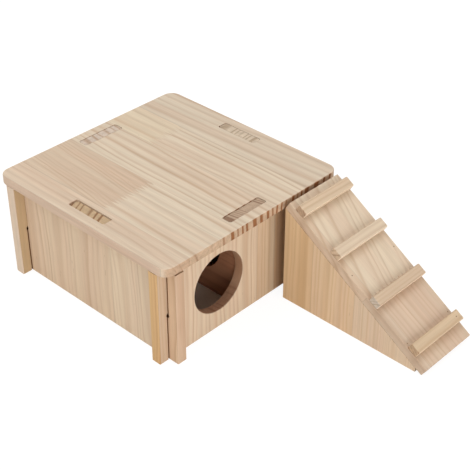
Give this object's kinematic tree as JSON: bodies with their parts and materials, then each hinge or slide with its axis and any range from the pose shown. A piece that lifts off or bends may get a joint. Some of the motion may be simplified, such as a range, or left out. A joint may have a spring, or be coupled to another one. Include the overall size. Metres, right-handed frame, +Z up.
{
  "type": "wooden hamster house",
  "caption": "Low wooden house for a hamster: interlocking wall boards, a round entrance, an inner divider, a lift-off roof and a free-standing ramp with rungs.",
  "frame": {"origin": "on the ground, at the middle of the outline of house and ramp together", "axes": "+X from the house towards the foot of the ramp, square to the door wall; +Y to the right of the entrance as seen from outside it; +Z up"},
  "size_m": [0.3488, 0.2, 0.0986],
  "materials": {
    "roof_board": "bare sanded pine, finger-jointed and edge-glued, straight grain along X",
    "wall_board": "bare sanded pine, upright grain",
    "divider_board": "bare sanded pine, level grain",
    "ramp_wood": "bare sanded pine, finger-jointed board, grain down the slope",
    "rung_wood": "bare sanded pine, grain across the ramp",
    "brad_steel": "dull steel brads, ends just below the surface"
  },
  "bodies": {
    "root": {"left_wall": "wall_board", "right_wall": "wall_board", "door_wall": "wall_board", "back_wall": "wall_board", "divider": "divider_board"},
    "roof": {"roof_panel": "roof_board"},
    "ramp": {"ramp_board": "ramp_wood", "ramp_side_left": "ramp_wood", "ramp_side_right": "ramp_wood", "ramp_rung_1": "rung_wood", "ramp_rung_2": "rung_wood", "ramp_rung_3": "rung_wood", "ramp_rung_4": "rung_wood", "side_nails": "brad_steel", "rung_nails": "brad_steel", "top_nail": "brad_steel"}
  },
  "joints": [
    {"name": "roof_lift", "type": "slide", "parent": "root", "child": "roof", "axis": [0, 0, 1], "range_m": [0, 0.1]},
    {"name": "ramp_pull", "type": "slide", "parent": "root", "child": "ramp", "axis": [1, 0, 0], "range_m": [0, 0.1]}
  ]
}
